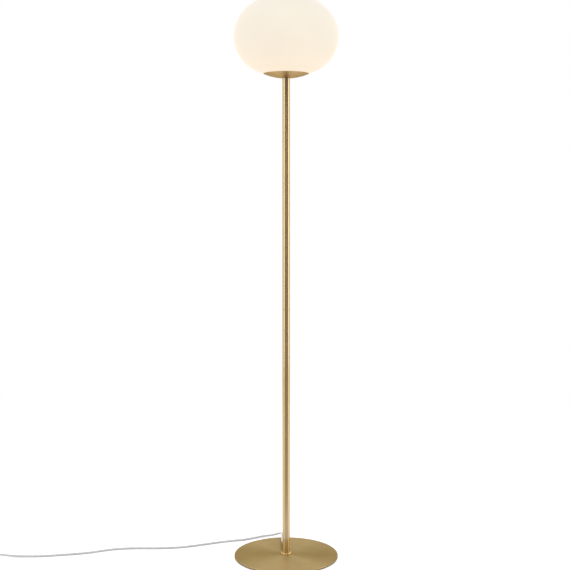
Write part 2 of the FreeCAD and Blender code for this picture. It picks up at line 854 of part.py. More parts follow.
inner_length = "Sizes.switch_length - 2 * Sizes.switch_wall"
inner_width = "Sizes.switch_width - 2 * Sizes.switch_wall"
inner_corner = "Sizes.switch_corner - Sizes.switch_wall"
screw_x = "Sizes.screw_spacing / 2"


def at_switch(body, height="0"):
    bind(
        body,
        Placement__Base__x="Sizes.switch_x",
        Placement__Base__y="Sizes.switch_y",
        Placement__Base__z=height,
    )


def shell(label, height, base):
    """Half of the switch housing as a solid block, on the parting plane or on the floor."""
    body = new_part(label)
    sketch = sketch_on(body, "XY_Plane")
    outline(sketch, rounded_outline("Sizes.switch_length", "Sizes.switch_width", "Sizes.switch_corner"))
    block = extrude("Pad", body, sketch, height)
    at_switch(body, base)
    return body, block


def lifted(sketch, height):
    """Raise a sketch above the plane that it is attached to."""
    bind(sketch, AttachmentOffset__Base__z=height)
    return sketch


def hollow(body, depth, floor=None):
    """Cut the room inside a housing half upward from a floor, or from its open underside."""
    sketch = sketch_on(body, "XY_Plane")
    outline(sketch, rounded_outline(inner_length, inner_width, inner_corner))
    if floor:
        lifted(sketch, floor)
    return extrude("Pocket", body, sketch, depth, reverse=True)


def cord_notches(body, height):
    """Round notches in both ends, which close on the necks of the strain reliefs."""
    sketch = sketch_on(body, "YZ_Plane")
    circle(sketch, "0", height, "Sizes.switch_neck_radius + Sizes.press_gap")
    return extrude("Pocket", body, sketch, "1.1 * Sizes.switch_length", symmetric=True)


switch_base, _ = shell("switch_base", "Sizes.switch_base_height", "0")
hollow(switch_base, "Sizes.switch_base_height - Levels.switch_floor", floor="Levels.switch_floor")
cord_notches(switch_base, "Sizes.switch_base_height")
base_holes = sketch_on(switch_base, "XY_Plane")
for side in ("-", ""):
    circle(base_holes, f"{side}{screw_x}", "0", "Sizes.screw_radius + Sizes.press_gap")
extrude("Pocket", switch_base, base_holes, reverse=True)
head_holes = sketch_on(switch_base, "XY_Plane")
for side in ("-", ""):
    circle(head_holes, f"{side}{screw_x}", "0", "Sizes.screw_head_radius + Sizes.press_gap")
extrude("Pocket", switch_base, head_holes, "Sizes.screw_head_height + Sizes.press_gap", reverse=True)

switch_cover, cover_block = shell("switch_cover", "Sizes.switch_cover_height", "Sizes.switch_base_height")
doc.recompute()
top_face = max(range(len(cover_block.Shape.Faces)), key=lambda n: cover_block.Shape.Faces[n].CenterOfMass.z)
bevel = switch_cover.newObject("PartDesign::Chamfer", "cover_bevel")
bevel.Base = (cover_block, [f"Face{top_face + 1}"])
bind(bevel, Size="Sizes.switch_bevel")
hollow(switch_cover, "Sizes.switch_cover_height - Sizes.switch_wall")
cord_notches(switch_cover, "0")
bosses = sketch_on(switch_cover, "XY_Plane")
for side in ("-", ""):
    circle(bosses, f"{side}{screw_x}", "0", "Sizes.boss_radius")
    circle(bosses, f"{side}{screw_x}", "0", "Sizes.screw_radius + Sizes.press_gap")
extrude("Pad", switch_cover, bosses, "Sizes.switch_cover_height - Sizes.switch_wall")
button_hole = sketch_on(switch_cover, "XY_Plane")
circle(button_hole, "0", "0", "Sizes.button_radius + Sizes.button_gap")
extrude("Pocket", switch_cover, button_hole, reverse=True)


button = turned(
    "switch_button",
    [
        ("0", "Levels.button_base"),
        ("Sizes.button_radius + Sizes.button_lip", "Levels.button_base"),
        ("Sizes.button_radius + Sizes.button_lip", "Levels.button_base + Sizes.button_lip_height"),
        ("Sizes.button_radius", "Levels.button_base + Sizes.button_lip_height"),
        ("Sizes.button_radius", "Levels.button_top - Sizes.button_bevel"),
        ("Sizes.button_radius - Sizes.button_bevel", "Levels.button_top"),
        ("0", "Levels.button_top"),
    ],
)
at_switch(button)

block = new_part("switch_block", "Part::Box")
bind(
    block,
    Length="Sizes.block_length",
    Width="Sizes.block_width",
    Height="Sizes.block_height",
    Placement__Base__x="Sizes.switch_x - Sizes.block_length / 2",
    Placement__Base__y="Sizes.switch_y - Sizes.block_width / 2",
    Placement__Base__z="Levels.switch_floor",
)

leaf = new_part("return_leaf")
leaf_sketch = sketch_on(leaf, "XZ_Plane")
half_span, half_top = "Sizes.leaf_span / 2", "Sizes.leaf_top / 2"
crest = "Levels.leaf_crest"
outline(
    leaf_sketch,
    [
        (f"-({half_span})", "Levels.block_top"),
        (f"-({half_span}) + 2 * Sizes.leaf_thickness", "Levels.block_top"),
        (f"-({half_top})", f"{crest} - Sizes.leaf_thickness"),
        (half_top, f"{crest} - Sizes.leaf_thickness"),
        (f"{half_span} - 2 * Sizes.leaf_thickness", "Levels.block_top"),
        (half_span, "Levels.block_top"),
        (half_top, crest),
        (f"-({half_top})", crest),
    ],
)
extrude("Pad", leaf, leaf_sketch, "Sizes.leaf_width", symmetric=True)
at_switch(leaf)


def housing_screw(number, side):
    body = turned(
        f"screw_{number}",
        [
            ("0", "Sizes.screw_sink"),
            ("Sizes.screw_head_radius", "Sizes.screw_sink"),
            ("Sizes.screw_head_radius", "Sizes.screw_head_height"),
            ("Sizes.screw_radius", "Sizes.screw_head_height"),
            ("Sizes.screw_radius", "Sizes.screw_length"),
            ("0", "Sizes.screw_length"),
        ],
    )
    bind(
        body,
        Placement__Base__x=f"Sizes.switch_x {side} {screw_x}",
        Placement__Base__y="Sizes.switch_y",
    )
    return body


group("switch_screws", [housing_screw(1, "-"), housing_screw(2, "+")])


def switch_relief(label, half_turn):
    """A moulded strain relief held by its flange inside the housing, along +X, or along -X if turned."""
    body = new_part(label)
    wall_in = "Levels.switch_half - Sizes.switch_wall"
    turn(
        body,
        [
            (f"{wall_in} - Sizes.switch_wall", "0"),
            ("Levels.switch_half + Sizes.relief_length", "0"),
            ("Levels.switch_half + Sizes.relief_length", "Sizes.relief_tip_radius"),
            ("Levels.switch_half", "Sizes.relief_root_radius"),
            ("Levels.switch_half", "Sizes.switch_neck_radius"),
            (f"{wall_in} - Sizes.press_gap", "Sizes.switch_neck_radius"),
            (f"{wall_in} - Sizes.press_gap", "Levels.relief_flange"),
            (f"{wall_in} - Sizes.switch_wall", "Levels.relief_flange"),
        ],
        axis="H_Axis",
    )
    body.Placement.Rotation = FreeCAD.Rotation(Vector(0, 0, 1), half_turn)
    at_switch(body, "Sizes.switch_base_height")
    return body


switch_relief("switch_relief_in", 0)
switch_relief("switch_relief_out", 180)

# ---------------------------------------------------------------- plug, its pins towards +X

plug = new_part("plug_body")
plug_sketch = sketch_on(plug, "XY_Plane")
half_width, half_rear = "Sizes.plug_width / 2", "Sizes.plug_rear_width / 2"
shoulder = "Sizes.plug_length - Sizes.plug_shoulder"
outline(
    plug_sketch,
    [
        ("0", f"-({half_rear})"),
        (f"({shoulder}) / 2", f"-({half_rear}) - Sizes.plug_waist"),
        (shoulder, f"-({half_width})"),
        ("Sizes.plug_length", f"-({half_width})"),
        ("Sizes.plug_length", half_width),
        (shoulder, half_width),
        (f"({shoulder}) / 2", f"{half_rear} + Sizes.plug_waist"),
        ("0", half_rear),
    ],
)
plug_block = extrude("Pad", plug, plug_sketch, "Sizes.plug_height")


def at_plug(body, across="0", height="0"):
    bind(
        body,
        Placement__Base__x="Sizes.plug_x",
        Placement__Base__y=f"Sizes.plug_y + {across}",
        Placement__Base__z=height,
    )


at_plug(plug)
doc.recompute()
flat_faces = [n for n, face in enumerate(plug_block.Shape.Faces) if abs(face.normalAt(0, 0).z) > 0.9]
plug_bevel = plug.newObject("PartDesign::Chamfer", "plug_bevel")
plug_bevel.Base = (plug_block, [f"Face{n + 1}" for n in flat_faces])
bind(plug_bevel, Size="Sizes.plug_bevel")
pin_holes = sketch_on(plug, "YZ_Plane")
pin_hole = "Sizes.sleeve_radius + Sizes.press_gap"
for side in ("-", ""):
    circle(pin_holes, f"{side}Sizes.pin_spacing / 2", "Levels.pin_level", pin_hole)
bind(pin_holes, AttachmentOffset__Base__z="Sizes.plug_length - Sizes.pin_root")
extrude("Pocket", plug, pin_holes, reverse=True)

sleeve_end = "Sizes.plug_length + Sizes.sleeve_length"
pin_end = "Sizes.plug_length + Sizes.pin_length"
pin_start = "Sizes.plug_length - Sizes.pin_root"


def plug_pin(number, side):
    """A round pin, thinner where its sleeve covers it."""
    body = turned(
        f"pin_{number}",
        [
            (pin_start, "0"),
            (pin_end, "0"),
            (pin_end, "Sizes.pin_radius / 2"),
            (f"{pin_end} - Sizes.pin_radius / 2", "Sizes.pin_radius"),
            (sleeve_end, "Sizes.pin_radius"),
            (sleeve_end, "Sizes.pin_core_radius"),
            (pin_start, "Sizes.pin_core_radius"),
        ],
        axis="H_Axis",
    )
    at_plug(body, f"{side} Sizes.pin_spacing / 2", "Levels.pin_level")
    return body


def pin_sleeve(number, side):
    body = turned(
        f"sleeve_{number}",
        [
            (pin_start, "Sizes.pin_core_radius + Sizes.press_gap"),
            (f"{sleeve_end} - Sizes.press_gap", "Sizes.pin_core_radius + Sizes.press_gap"),
            (f"{sleeve_end} - Sizes.press_gap", "Sizes.sleeve_radius"),
            (pin_start, "Sizes.sleeve_radius"),
        ],
        axis="H_Axis",
    )
    at_plug(body, f"{side} Sizes.pin_spacing / 2", "Levels.pin_level")
    return body


group("plug_pins", [plug_pin(1, "-"), plug_pin(2, "")])
group("pin_sleeves", [pin_sleeve(1, "-"), pin_sleeve(2, "")])

plug_relief = turned(
    "plug_relief",
    [
        ("-Sizes.relief_length", "0"),
        ("0", "0"),
        ("0", "Sizes.relief_root_radius"),
        ("-Sizes.relief_length", "Sizes.relief_tip_radius"),
    ],
    axis="H_Axis",
)
at_plug(plug_relief, height="Levels.pin_level")

doc.recompute()

# ---------------------------------------------------------------- cords

cord_radius = value("Sizes.cord_radius")
rest = value("Sizes.cord_rest")
exit_level = value("Levels.exit_level")
exit_turn = math.radians(value("Sizes.exit_angle"))
exit_way = Vector(-math.sin(exit_turn), math.cos(exit_turn), 0)


def arc_edge(start, along, end):
    """The arc from start to end that leaves start along a unit direction."""
    chord = end - start
    aside = along - chord * (along.dot(chord) / chord.dot(chord))
    if aside.Length < 1e-6:
        return Part.LineSegment(start, end).toShape()
    turned_by = along.getAngle(chord)
    middle = start + chord / 2 + aside.normalize() * (chord.Length / 2 * math.tan(turned_by / 2))
    return Part.Arc(start, middle, end).toShape()


def rounded_path(route):
    """Straight runs joined by tangent arcs, each as large as its two runs allow."""
    edges, here, radii = [], route[0], []
    for before, corner, after in zip(route[:-2], route[1:-1], route[2:]):
        way_in, way_out = (corner - before).normalize(), (after - corner).normalize()
        reach = 0.45 * min((corner - before).Length, (after - corner).Length)
        radii.append(reach / math.tan(way_in.getAngle(way_out) / 2))
        start, end = corner - way_in * reach, corner + way_out * reach
        edges.append(Part.LineSegment(here, start).toShape())
        edges.append(arc_edge(start, way_in, end))
        here = end
    edges.append(Part.LineSegment(here, route[-1]).toShape())
    return Part.Wire(edges), radii


def sweep(path, section):
    solid = path.makePipeShell([section], True, False)
    return solid if solid.ShapeType == "Solid" else Part.Solid(solid.Shells[0])


def round_section(path, radius):
    first = path.Edges[0]
    start = first.valueAt(first.FirstParameter)
    return Part.Wire([Part.makeCircle(radius, start, first.tangentAt(first.FirstParameter))])


def check_volume(label, solid, section_area, length):
    ratio = solid.Volume / (section_area * length)
    if not 0.98 < ratio < 1.02:
        raise ValueError(f"{label}: volume is {ratio:.3f} of its section times its length")


def cord(label, route):
    """A free stretch of cord along its route."""
    path, radii = rounded_path(route)
    solid = sweep(path, round_section(path, cord_radius))
    check_volume(label, solid, math.pi * cord_radius**2, path.Length)
    part = new_part(label, "Part::Feature")
    part.Shape = solid
    print(label, f"length {path.Length:.0f}, least radius {min(radii, default=0):.0f},",
          "radii", [round(r) for r in radii])
    return part


# From the pole: back over the plate and down behind it, then to the left along the floor.
LEAD_ROUTE = [
    (-9.1, 42.8, 25.0),
    (-10.8, 66.0, 21.5),
    (-11.8, 94.0, 20.3),
    (-10.8, 120.5, 20.2),
    (-13.2, 139.0, 19.6),
    (-22.9, 153.3, 12.6),
    (-39.5, 159.5, 5.6),
    (-60.1, 158.6, 4.6),
    (-84.4, 145.6, rest),
    (-113.0, 128.3, rest),
    (-150.0, 117.0, rest),
    (-197.0, 97.0, rest),
    (-244.0, 73.5, rest),
    (-300.0, 56.3, rest),
    (-366.0, 52.3, rest),
    (-428.0, 55.4, rest),
    (-482.0, 42.5, rest),
    (-536.0, 16.5, rest),
    (-600.0, 1.0, rest),
    (-658.0, -10.6, rest),
    (-702.0, -12.0, rest),
    (-738.0, -11.0, rest + 1.5),
    (-764.0, -8.0, rest + 4.0),
]
lead_start = exit_way * value("Levels.grommet_tip") + Vector(0, 0, exit_level)
switch_x, switch_y = value("Sizes.switch_x"), value("Sizes.switch_y")
neck_reach = value("Levels.switch_half + Sizes.relief_length")
neck_level = value("Sizes.switch_base_height")
lead_end = Vector(switch_x + neck_reach, switch_y, neck_level)
cord("cord_lead", [lead_start] + [Vector(*spot) for spot in LEAD_ROUTE] + [lead_end])

# The coil: it winds in over two and a quarter turns on the floor, climbs and winds out again on top.
coil_x = value("Sizes.coil_x")
coil_radius = value("Sizes.coil_radius")
coil_step, coil_layer = value("Sizes.coil_step"), value("Sizes.coil_layer")
coil_middle = Vector(coil_x, switch_y - coil_radius, 0)
QUARTERS = 18
START_ANGLE = math.pi / 2
half_way = QUARTERS * math.pi / 4
tube_end = 2 * cord_radius


def coil_spot(travelled):
    """A point of the coil's line after an angle of travel from its start."""
    from_middle = travelled - half_way
    radius = coil_radius - coil_step * (half_way - abs(from_middle)) / (2 * math.pi)
    climbed = min(max(from_middle / math.pi + 0.5, 0), 1)
    height = rest + coil_layer * climbed * climbed * (3 - 2 * climbed)
    angle = START_ANGLE + travelled
    return coil_middle + Vector(radius * math.cos(angle), radius * math.sin(angle), height)


def coil_way(travelled):
    small = 0.01
    return (coil_spot(travelled + small) - coil_spot(travelled - small)).normalize()


def biarc(start, along_start, end, along_end):
    """Two arcs from start to end, each tangent to its own end's direction and to the other arc."""
    chord = end - start
    across = chord.dot(along_start + along_end)
    spread = 2 * (1 - along_start.dot(along_end))
    reach = (math.sqrt(across**2 + spread * chord.dot(chord)) - across) / spread
    join = (start + end + (along_start - along_end) * reach) * 0.5
    return [arc_edge(start, along_start, join), arc_edge(end, along_end * -1, join)]


coil_edges = []
for quarter in range(QUARTERS):
    a, b = quarter * math.pi / 2, (quarter + 1) * math.pi / 2
    coil_edges += biarc(coil_spot(a), coil_way(a), coil_spot(b), coil_way(b))
first_spot, last_spot = coil_spot(0), coil_spot(QUARTERS * math.pi / 2)
first_way, last_way = coil_way(0), coil_way(QUARTERS * math.pi / 2)
coil_start, coil_end = first_spot - first_way * tube_end, last_spot + last_way * tube_end
coil_edges.insert(0, Part.LineSegment(coil_start, first_spot).toShape())
coil_edges.append(Part.LineSegment(last_spot, coil_end).toShape())
coil_path = Part.Wire(coil_edges)
SIDES = 8
side_way = Vector(0, 0, 1).cross(first_way).normalize()
corner_radius = cord_radius / math.cos(math.pi / SIDES)
section_corners = []
for number in range(SIDES + 1):
    angle = (number + 0.5) * 2 * math.pi / SIDES
    spoke = side_way * math.cos(angle) + Vector(0, 0, 1) * math.sin(angle)
    section_corners.append(coil_start + spoke * corner_radius)
coil_solid = sweep(coil_path, Part.makePolygon(section_corners))
section_area = SIDES * cord_radius**2 * math.tan(math.pi / SIDES)
check_volume("cord_coil", coil_solid, section_area, coil_path.Length)
coil_part = new_part("cord_coil", "Part::Feature")
coil_part.Shape = coil_solid

STRIDE = 0.05
samples = [coil_spot(STRIDE * n) for n in range(int(QUARTERS * math.pi / 2 / STRIDE))]
apart = int(math.pi / STRIDE)
nearest = min(
    (samples[a] - samples[b]).Length
    for a in range(0, len(samples), 2)
    for b in range(a + apart, len(samples))
)
least_gap = nearest - 2 * cord_radius
print(f"cord_coil length {coil_path.Length:.0f}, least gap to itself {least_gap:.2f}")
if least_gap < 0.4:
    raise ValueError("the coil's turns lie closer than 0.4 mm")



def step_across(start, end):
    """A route that leaves start along X, crosses over and reaches end along X."""
    run = end - start
    return [
        start,
        start + Vector(run.x * STRAIGHT_SHARE, 0, 0),
        end - Vector(run.x * STRAIGHT_SHARE, 0, 0),
        end,
    ]


STRAIGHT_SHARE = 0.28
link_start = Vector(switch_x - neck_reach, switch_y, neck_level)
cord("cord_link", step_across(link_start, coil_start))
plug_back = value("Sizes.plug_x - Sizes.relief_length")
tail_end = Vector(plug_back, value("Sizes.plug_y"), value("Levels.pin_level"))
cord("cord_tail", step_across(coil_end, tail_end))

# Inside the pole the cord bends upward and runs to the lampholder's contact block.
cable_start = exit_way * value("Levels.tube_bore - Sizes.grommet_inside") + Vector(0, 0, exit_level)
bend = value("Sizes.cable_bend")
bend_start = exit_way * bend + Vector(0, 0, exit_level)
bend_end = Vector(0, 0, exit_level + bend)
cable_path = Part.Wire(
    [
        Part.LineSegment(cable_start, bend_start).toShape(),
        arc_edge(bend_start, exit_way * -1, bend_end),
        Part.LineSegment(bend_end, Vector(0, 0, value("Levels.core_base"))).toShape(),
    ]
)
cable = new_part("pole_cable", "Part::Feature")
cable.Shape = sweep(cable_path, round_section(cable_path, cord_radius))
check_volume("pole_cable", cable.Shape, math.pi * cord_radius**2, cable_path.Length)

# ---------------------------------------------------------------- checks and export

doc.recompute()
for thing in doc.Objects:
    if {"Invalid", "Error"} & set(thing.State):
        raise ValueError(f"{thing.Name} failed: {thing.State}")
    if thing.isDerivedFrom("PartDesign::Pocket") or thing.isDerivedFrom("PartDesign::SubtractiveCylinder"):
        if thing.Shape.Volume >= thing.BaseFeature.Shape.Volume - 0.01:
            raise ValueError(f"{thing.Name} cuts nothing")
for part in parts:
    if part.Shape.isNull() or not part.Shape.isValid():
        raise ValueError(f"{part.Label}: its shape is not valid")

os.makedirs("parts", exist_ok=True)
for part in parts:
    part.Shape.exportStep(f"parts/{part.Label}.step")
print(len(parts), "parts written")
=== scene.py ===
"""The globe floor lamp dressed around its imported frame: finishes, bulb thread, cords, light and camera."""

import json
import math

import bpy
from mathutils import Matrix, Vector


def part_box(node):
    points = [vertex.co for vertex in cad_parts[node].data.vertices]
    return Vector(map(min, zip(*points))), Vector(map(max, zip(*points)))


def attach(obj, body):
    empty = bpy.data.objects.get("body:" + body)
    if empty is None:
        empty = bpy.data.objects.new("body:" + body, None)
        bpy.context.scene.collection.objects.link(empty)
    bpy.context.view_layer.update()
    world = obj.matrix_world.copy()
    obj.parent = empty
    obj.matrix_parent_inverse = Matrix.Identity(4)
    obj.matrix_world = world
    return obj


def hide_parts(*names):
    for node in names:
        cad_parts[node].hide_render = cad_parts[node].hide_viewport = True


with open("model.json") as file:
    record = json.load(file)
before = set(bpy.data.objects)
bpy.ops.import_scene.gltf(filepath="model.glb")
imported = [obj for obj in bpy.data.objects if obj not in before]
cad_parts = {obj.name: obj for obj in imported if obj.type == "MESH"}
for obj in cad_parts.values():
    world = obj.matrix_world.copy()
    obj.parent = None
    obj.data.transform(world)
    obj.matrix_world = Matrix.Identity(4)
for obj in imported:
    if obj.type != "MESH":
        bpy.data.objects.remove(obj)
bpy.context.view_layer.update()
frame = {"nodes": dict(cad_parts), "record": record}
nodes = frame["nodes"]

# Places and sizes are in metres, apart from those that a comment gives in millimetres.
MM = 0.001

# ---------------------------------------------------------------- camera

# It looks along +Y and is tipped down by its pitch, in degrees. Its lens and film width are in millimetres.
CAMERA_PLACE = (-0.0031, -2.7754, 0.9655)
CAMERA_PITCH = 3.52
LENS = 66.13
FILM_WIDTH = 36.0
SHIFT_UP = -0.0393


def make_camera():
    data = bpy.data.cameras.new("camera")
    data.lens = LENS
    data.sensor_width = FILM_WIDTH
    data.shift_y = SHIFT_UP
    camera = bpy.data.objects.new("camera", data)
    camera.location = CAMERA_PLACE
    camera.rotation_euler = (math.radians(90 - CAMERA_PITCH), 0, 0)
    bpy.context.scene.collection.objects.link(camera)
    bpy.context.scene.camera = camera


make_camera()

# ---------------------------------------------------------------- node trees


def node(tree, kind, settings=None, **inputs):
    """Add a shader node.

    Inputs are values or other nodes' outputs. Each is named after its socket, with _ for a space, or i and
    the socket's number where several sockets share a name.
    """
    made = tree.nodes.new("ShaderNode" + kind)
    for name, setting in (settings or {}).items():
        setattr(made, name, setting)
    for name, given in inputs.items():
        key = int(name[1:]) if name[1:].isdigit() else name.replace("_", " ")
        socket = made.inputs[key]
        if isinstance(given, bpy.types.NodeSocket):
            tree.links.new(given, socket)
        else:
            socket.default_value = given
    return made


def math_node(tree, operation, a, b=0.0):
    return node(tree, "Math", {"operation": operation}, i0=a, i1=b).outputs[0]


def length_of(tree, vector):
    return node(tree, "VectorMath", {"operation": "LENGTH"}, i0=vector).outputs["Value"]


def split_of(tree, vector):
    """The X, Y and Z of a vector, by name."""
    return node(tree, "SeparateXYZ", None, Vector=vector).outputs


def ramp(tree, factor, *stops):
    """A colour ramp through (position, colour) stops."""
    made = node(tree, "ValToRGB", Fac=factor)
    elements = made.color_ramp.elements
    while len(elements) < len(stops):
        elements.new(0.5)
    for element, (position, colour) in zip(elements, stops):
        element.position = position
        element.color = (*colour, 1)
    return made.outputs["Color"]


def spread(tree, source, low, high, out_low=0.0, out_high=1.0, kind="LINEAR"):
    """Map a value from one range to another, and hold it at the ends."""
    limits = {"From_Min": low, "From_Max": high, "To_Min": out_low, "To_Max": out_high}
    return node(tree, "MapRange", {"interpolation_type": kind}, Value=source, **limits).outputs["Result"]


def smooth_step(tree, source, low, high, out_low=0.0, out_high=1.0):
    """As spread, with a soft start and end."""
    return spread(tree, source, low, high, out_low, out_high, "SMOOTHSTEP")


def mixed(tree, factor, a, b):
    """A colour between a and b, which are colours or other nodes' outputs."""
    made = node(tree, "Mix", {"data_type": "RGBA"}, Factor=factor)
    for name, colour in (("A", a), ("B", b)):
        socket = next(s for s in made.inputs if s.name == name and s.type == "RGBA")
        if isinstance(colour, bpy.types.NodeSocket):
            tree.links.new(colour, socket)
        else:
            socket.default_value = (*colour, 1)
    return next(s for s in made.outputs if s.type == "RGBA")


def place(tree):
    """The point's place in the lamp's frame, in metres."""
    return node(tree, "TexCoord").outputs["Object"]


def noise(tree, vector, scale, detail=3.0, roughness=0.5):
    made = node(tree, "TexNoise", None, Vector=vector, Scale=scale, Detail=detail, Roughness=roughness)
    return made.outputs["Fac"]


def principled(name, colour, roughness, metallic=0.0, **settings):
    """A material and its tree and shader, with what is the same all over set on the shader itself."""
    material = bpy.data.materials.new(name)
    material.use_nodes = True
    tree = material.node_tree
    shader = tree.nodes["Principled BSDF"]
    shader.inputs["Base Color"].default_value = (*colour, 1)
    shader.inputs["Roughness"].default_value = roughness
    shader.inputs["Metallic"].default_value = metallic
    for key, value in settings.items():
        shader.inputs[key.replace("_", " ")].default_value = value
    return material, tree, shader


def drive(tree, shader, name, source):
    """Let one of the shader's inputs follow another node's output."""
    tree.links.new(source, shader.inputs[name])


def bump(tree, shader, height, distance, strength):
    made = node(tree, "Bump", None, Height=height, Distance=distance, Strength=strength)
    drive(tree, shader, "Normal", made.outputs["Normal"])


# ---------------------------------------------------------------- finishes

# Noise seldom strays far from its middle, so one of these bands of it is spread over a finish's whole range.
WIDE_BAND = (0.3, 0.7)
MIDDLE_BAND = (0.35, 0.65)
NARROW_BAND = (0.4, 0.6)

# How far a radian round the lamp's axis counts in the noise of the marks. The less, the longer the marks.
BRUSHED_RUN = 0.002
TURNED_RUN = 0.004

# Turns the highlights a quarter, so that they stretch across the marks.
QUARTER_TURN = 0.25

# A real lacquer's index is about 1.5. This higher one whitens what the brass reflects.
LACQUER_INDEX = 2.6
LACQUER_ROUGHNESS = 0.1

CLOUD_SCALE = 16.0
MARK_SHARE, CLOUD_SHARE = 0.6, 0.4
MARK_STRENGTH = 0.4

# The plate's edge is darkened with painted shade and a painted dark reflection between these depths under
# its top.
EDGE_SHADE_FROM = 2.0 * MM
EDGE_SHADE_BY = 3.0 * MM
PAINTED_EDGE_SHADE = (0.16, 0.10, 0.035)

PATCH_SCALE = 60.0
MOULD_DEPTH = 0.04 * MM
MOULD_STRENGTH = 0.5

# The lit globe shows its glow, from a little under the dish's rim to its crown, over a nearly black base.
OPAL_BASE = (0.035, 0.034, 0.032)
GLOW_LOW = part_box("dish")[1].z - 4.0 * MM
GLOW_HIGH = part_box("globe")[1].z
GLOW_STOPS = [
    (0.0, (0.955, 0.795, 0.625)),
    (0.12, (0.95, 0.83, 0.67)),
    (0.5, (0.91, 0.83, 0.70)),
    (1.0, (0.86, 0.80, 0.71)),
]
GLOW_UNEVEN = (0.985, 1.015)
GLOW_PATCH_SCALE = 9.0
SATIN_SCALE = 420.0
SATIN_DEPTH = 0.02 * MM
SATIN_STRENGTH = 0.3

FELT_SCALE = 1600.0
FELT_DEPTH = 0.3 * MM
FELT_STRENGTH = 0.8
FELT_STOPS = [(0.3, (0.02, 0.02, 0.022)), (0.7, (0.06, 0.06, 0.062))]

# The bulb's dome glows from a little under its foot to its top.
DOME_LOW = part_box("bulb_dome")[0].z - 7.0 * MM
DOME_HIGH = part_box("bulb_dome")[1].z
DOME_STOPS = [(0.0, (1.0, 0.80, 0.55)), (1.0, (1.0, 0.90, 0.74))]
DOME_GLOW = 0.8
FROST_SCALE = 700.0
FROST_DEPTH = 0.03 * MM
FROST_STRENGTH = 0.4


def vary_roughness(tree, shader, pattern, roughness, less, more):
    """Let a noise pattern move the roughness, from less under its given value to more over it."""
    drive(tree, shader, "Roughness", spread(tree, pattern, *WIDE_BAND, roughness - less, roughness + more))


def vary_colour(tree, shader, pattern, band, colour, shade):
    """Let a band of a noise pattern darken the colour, down to a share of itself."""
    darker = tuple(shade * channel for channel in colour)
    drive(tree, shader, "Base Color", mixed(tree, spread(tree, pattern, *band), colour, darker))


def spun_vector(tree, run):
    """Coordinates squeezed round the lamp's axis, so that noise in them makes long marks round it."""
    here = split_of(tree, place(tree))
    flat = node(tree, "CombineXYZ", None, X=here["X"], Y=here["Y"]).outputs[0]
    angle = math_node(tree, "ARCTAN2", here["Y"], here["X"])
    along = math_node(tree, "MULTIPLY", angle, run)
    return node(tree, "CombineXYZ", None, X=length_of(tree, flat), Y=along, Z=here["Z"]).outputs[0]


def brushed_brass(name, colour, grazing, roughness, anisotropic, grain, groove, lacquer):
    """Brass brushed round the lamp's axis, under a thin lacquer.

    Grazing is its colour at a low angle. Grain is the scale of the marks and groove their depth in metres.
    """
    material, tree, shader = principled(
        name,
        colour,
        roughness,
        metallic=1.0,
        Anisotropic=anisotropic,
        Anisotropic_Rotation=QUARTER_TURN,
        Specular_Tint=(*grazing, 1),
        Coat_Weight=lacquer,
        Coat_Roughness=LACQUER_ROUGHNESS,
        Coat_IOR=LACQUER_INDEX,
    )
    tangent = node(tree, "Tangent", {"direction_type": "RADIAL", "axis": "Z"})
    drive(tree, shader, "Tangent", tangent.outputs[0])
    marks = noise(tree, spun_vector(tree, BRUSHED_RUN), grain, detail=4.0, roughness=0.6)
    cloud = noise(tree, place(tree), CLOUD_SCALE)
    mark_part = math_node(tree, "MULTIPLY", marks, MARK_SHARE)
    cloud_part = math_node(tree, "MULTIPLY", cloud, CLOUD_SHARE)
    blend = math_node(tree, "ADD", mark_part, cloud_part)
    vary_colour(tree, shader, blend, NARROW_BAND, colour, shade=0.9)
    vary_roughness(tree, shader, cloud, roughness, less=0.03, more=0.03)
    bump(tree, shader, marks, groove, MARK_STRENGTH)
    return material


def plate_brass():
    """The base plate's brass: rings on the top, and its edge darkened with painted shade and a painted dark
    reflection.
    """
    finish = brushed_brass(
        "plate_brass",
        colour=(0.47, 0.35, 0.165),
        grazing=(0.60, 0.49, 0.30),
        roughness=0.55,
        anisotropic=0.75,
        grain=1500.0,
        groove=0.01 * MM,
        lacquer=0.06,
    )
    tree = finish.node_tree
    base = tree.nodes["Principled BSDF"].inputs["Base Color"]
    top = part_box("base_plate")[1].z
    height = split_of(tree, place(tree))["Z"]
    # Painted shade: the wall under the top's edge is darkened, standing in for its contact shadow and dark
    # reflection.
    shaded_wall = spread(tree, height, top - EDGE_SHADE_FROM, top - EDGE_SHADE_BY)
    tree.links.new(mixed(tree, shaded_wall, base.links[0].from_socket, PAINTED_EDGE_SHADE), base)
    return finish


def metal(name, colour, roughness, grain=900.0, depth=0.02 * MM):
    """Plain machined or plated metal with fine turning marks."""
    material, tree, shader = principled(name, colour, roughness, metallic=1.0)
    marks = noise(tree, spun_vector(tree, TURNED_RUN), grain)
    vary_roughness(tree, shader, marks, roughness, less=0.06, more=0.08)
    bump(tree, shader, marks, depth, MARK_STRENGTH)
    return material


def moulded(name, colour, roughness, grain=1800.0, **settings):
    """Moulded plastic or rubber: a fine spark-eroded grain and slight unevenness in colour."""
    material, tree, shader = principled(name, colour, roughness, **settings)
    here = place(tree)
    skin = noise(tree, here, grain, detail=2.0)
    patches = noise(tree, here, PATCH_SCALE, detail=2.0)
    vary_colour(tree, shader, patches, MIDDLE_BAND, colour, shade=0.93)
    vary_roughness(tree, shader, skin, roughness, less=0.05, more=0.05)
    bump(tree, shader, skin, MOULD_DEPTH, MOULD_STRENGTH)
    return material


